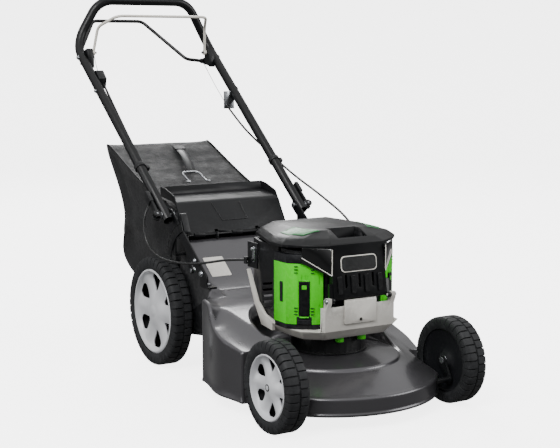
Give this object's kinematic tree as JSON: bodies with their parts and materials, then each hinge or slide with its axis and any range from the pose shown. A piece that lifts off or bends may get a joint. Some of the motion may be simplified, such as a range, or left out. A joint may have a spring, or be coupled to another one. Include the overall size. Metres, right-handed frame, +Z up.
{
  "type": "walk-behind lawn mower",
  "caption": "Walk-behind battery rotary mower: pressed deck, spoked wheels on height cranks, lidded power head, folding tube handle with bails, rear flap and soft grass bag.",
  "frame": {"origin": "on the ground under the middle of the mower's overall length and width, with the cut at its lowest", "axes": "+Z up, the mower faces -Y, +X is the operator's left"},
  "size_m": [0.525, 1.3562, 0.9595],
  "materials": {
    "deck_paint": "metallic, semi-gloss",
    "black_paint": "powder coat, satin",
    "zinc": "bright zinc plate",
    "blade_steel": "ground cutting edges",
    "motor_iron": "machined",
    "pulley_alloy": "turned",
    "belt_rubber": "matt",
    "gear_case": "die cast",
    "tray_plastic": "fine grain",
    "cover_plastic": "semi-gloss",
    "knob_green": "gloss",
    "head_plastic": "fine grain",
    "lid_plastic": "fine grain",
    "pane_smoke": "high gloss",
    "window_green": "clear, high gloss",
    "pack_green": "satin gloss",
    "pack_black": "fine grain",
    "circuit": "lacquered",
    "contact_brass": "bright",
    "tyre_rubber": "matt",
    "hub_plastic": "silver, fine grain",
    "bail_cream": "vinyl dipped",
    "bail_black": "vinyl dipped",
    "trim_black": "fine grain",
    "bag_cloth": "coated weave",
    "bag_plastic": "fine grain",
    "flap_plastic": "fine grain",
    "cable_sheath": "smooth"
  },
  "bodies": {
    "chassis": {"deck_shell": "deck_paint", "side_plates": "black_paint", "lower_handles": "black_paint", "chassis_bolts": "zinc", "belt_cover": "trim_black", "motor_pedestal": "head_plastic", "motor_stator": "motor_iron", "power_tray": "tray_plastic", "tray_cover": "cover_plastic", "tray_knobs": "knob_green", "power_housing": "head_plastic", "controller_board": "circuit", "battery_terminals": "contact_brass", "throttle_bracket": "trim_black", "gearbox": "gear_case", "drive_belt": "belt_rubber", "height_quadrant": "black_paint", "flap_rod": "black_paint", "stop_cable": "cable_sheath", "drive_cable": "cable_sheath"},
    "blade_rotor": {"blade": "blade_steel", "blade_adapter": "pulley_alloy", "blade_bolt": "zinc", "motor_shaft": "blade_steel", "drive_pulley": "pulley_alloy"},
    "gearbox_input": {"gearbox_pulley": "pulley_alloy"},
    "drive_shaft": {"drive_shaft": "zinc"},
    "front_axle": {"front_axle": "black_paint"},
    "rear_axle": {"rear_axle": "black_paint"},
    "front_wheel_left": {"front_tyre_left": "tyre_rubber", "front_hub_left": "hub_plastic"},
    "front_wheel_right": {"front_tyre_right": "tyre_rubber", "front_hub_right": "hub_plastic"},
    "rear_wheel_left": {"rear_tyre_left": "tyre_rubber", "rear_hub_left": "hub_plastic"},
    "rear_wheel_right": {"rear_tyre_right": "tyre_rubber", "rear_hub_right": "hub_plastic"},
    "height_lever": {"height_lever": "black_paint", "height_grip": "trim_black"},
    "handle": {"upper_handle": "black_paint", "bail_brackets": "trim_black", "cable_box": "trim_black", "cable_stay": "zinc", "cable_clips": "trim_black"},
    "stop_bail": {"stop_bail": "bail_cream"},
    "drive_bail": {"drive_bail": "bail_black"},
    "cam_lever_left": {"cam_lever_left": "trim_black"},
    "cam_lever_right": {"cam_lever_right": "trim_black"},
    "lid": {"lid_shell": "lid_plastic", "lid_panes": "pane_smoke", "lid_windows": "window_green"},
    "battery_left": {"battery_case_left": "pack_green", "battery_trim_left": "pack_black"},
    "battery_right": {"battery_case_right": "pack_green", "battery_trim_right": "pack_black"},
    "throttle_lever": {"throttle_lever": "zinc"},
    "rear_flap": {"rear_flap": "flap_plastic"},
    "bag": {"grass_bag": "bag_cloth", "bag_frame": "bag_plastic"},
    "bag_handle": {"bag_handle": "zinc"}
  },
  "joints": [
    {"name": "blade_spin", "type": "hinge", "parent": "chassis", "child": "blade_rotor", "pos_m": [0, -0.41873, 0.0405], "axis": [0, 0, 1], "continuous": true},
    {"name": "gearbox_input_spin", "type": "hinge", "parent": "chassis", "child": "gearbox_input", "pos_m": [0, 0.04627, 0.079], "axis": [0, 0, 1], "continuous": true},
    {"name": "drive_shaft_spin", "type": "hinge", "parent": "chassis", "child": "drive_shaft", "pos_m": [0, 0.07087, 0.10016], "axis": [1, 0, 0], "continuous": true},
    {"name": "front_height", "type": "hinge", "parent": "chassis", "child": "front_axle", "pos_m": [0, -0.60072, 0.06016], "axis": [-1, 0, 0], "range_deg": [0, 72.5]},
    {"name": "rear_height", "type": "hinge", "parent": "chassis", "child": "rear_axle", "pos_m": [0, 0.07087, 0.10016], "axis": [-1, 0, 0], "range_deg": [0, 72.5]},
    {"name": "height_lever_turn", "type": "hinge", "parent": "chassis", "child": "height_lever", "pos_m": [-0.179, -0.07773, 0.27], "axis": [-1, 0, 0], "range_deg": [0, 35]},
    {"name": "front_wheel_left_spin", "type": "hinge", "parent": "front_axle", "child": "front_wheel_left", "pos_m": [0.2355, -0.57773, 0.1], "axis": [1, 0, 0], "continuous": true},
    {"name": "front_wheel_right_spin", "type": "hinge", "parent": "front_axle", "child": "front_wheel_right", "pos_m": [-0.2355, -0.57773, 0.1], "axis": [1, 0, 0], "continuous": true},
    {"name": "rear_wheel_left_spin", "type": "hinge", "parent": "rear_axle", "child": "rear_wheel_left", "pos_m": [0.1837, 0.09388, 0.14], "axis": [1, 0, 0], "continuous": true},
    {"name": "rear_wheel_right_spin", "type": "hinge", "parent": "rear_axle", "child": "rear_wheel_right", "pos_m": [-0.1837, 0.09388, 0.14], "axis": [1, 0, 0], "continuous": true},
    {"name": "handle_fold", "type": "hinge", "parent": "chassis", "child": "handle", "pos_m": [0, 0.02428, 0.398], "axis": [1, 0, 0], "range_deg": [0, 115], "deforming": ["stop_cable", "drive_cable"]},
    {"name": "stop_bail_turn", "type": "hinge", "parent": "handle", "child": "stop_bail", "pos_m": [0, 0.52228, 0.8], "axis": [-1, 0, 0], "range_deg": [0, 44], "stiffness_Nm_per_rad": 0.8, "springref_deg": -20.05},
    {"name": "drive_bail_turn", "type": "hinge", "parent": "handle", "child": "drive_bail", "pos_m": [0, 0.55227, 0.775], "axis": [1, 0, 0], "range_deg": [0, 35], "stiffness_Nm_per_rad": 0.8, "springref_deg": -20.05},
    {"name": "cam_left_turn", "type": "hinge", "parent": "chassis", "child": "cam_lever_left", "pos_m": [0.223, 0.02428, 0.398], "axis": [0, 0.6156, -0.788], "range_deg": [0, 120]},
    {"name": "cam_right_turn", "type": "hinge", "parent": "chassis", "child": "cam_lever_right", "pos_m": [-0.223, 0.02428, 0.398], "axis": [0, -0.6156, 0.788], "range_deg": [0, 120]},
    {"name": "lid_open", "type": "hinge", "parent": "chassis", "child": "lid", "pos_m": [0, -0.55173, 0.264], "axis": [1, 0, 0], "range_deg": [0, 100]},
    {"name": "battery_left_lift", "type": "slide", "parent": "chassis", "child": "battery_left", "axis": [0, 0, 1], "range_m": [0, 0.01]},
    {"name": "battery_right_lift", "type": "slide", "parent": "chassis", "child": "battery_right", "axis": [0, 0, 1], "range_m": [0, 0.01]},
    {"name": "throttle_turn", "type": "hinge", "parent": "chassis", "child": "throttle_lever", "pos_m": [-0.136, -0.31172, 0.327], "axis": [-1, 0, 0], "range_deg": [0, 25]},
    {"name": "flap_open", "type": "hinge", "parent": "chassis", "child": "rear_flap", "pos_m": [0, 0.01227, 0.342], "axis": [1, 0, 0], "range_deg": [0, 60]},
    {"name": "bag_pull", "type": "slide", "parent": "chassis", "child": "bag", "axis": [0, 1, 0], "range_m": [0, 0.3]},
    {"name": "bag_handle_turn", "type": "hinge", "parent": "bag", "child": "bag_handle", "pos_m": [0, 0.22828, 0.4545], "axis": [1, 0, 0], "range_deg": [0, 95]}
  ],
  "couplings": [
    {"joint": "gearbox_input_spin", "follows": "blade_spin", "ratio": 1.3785},
    {"joint": "front_height", "follows": "rear_height", "ratio": 1},
    {"joint": "height_lever_turn", "follows": "rear_height", "ratio": 0.4827},
    {"joint": "throttle_turn", "follows": "stop_bail_turn", "ratio": 0.568}
  ]
}
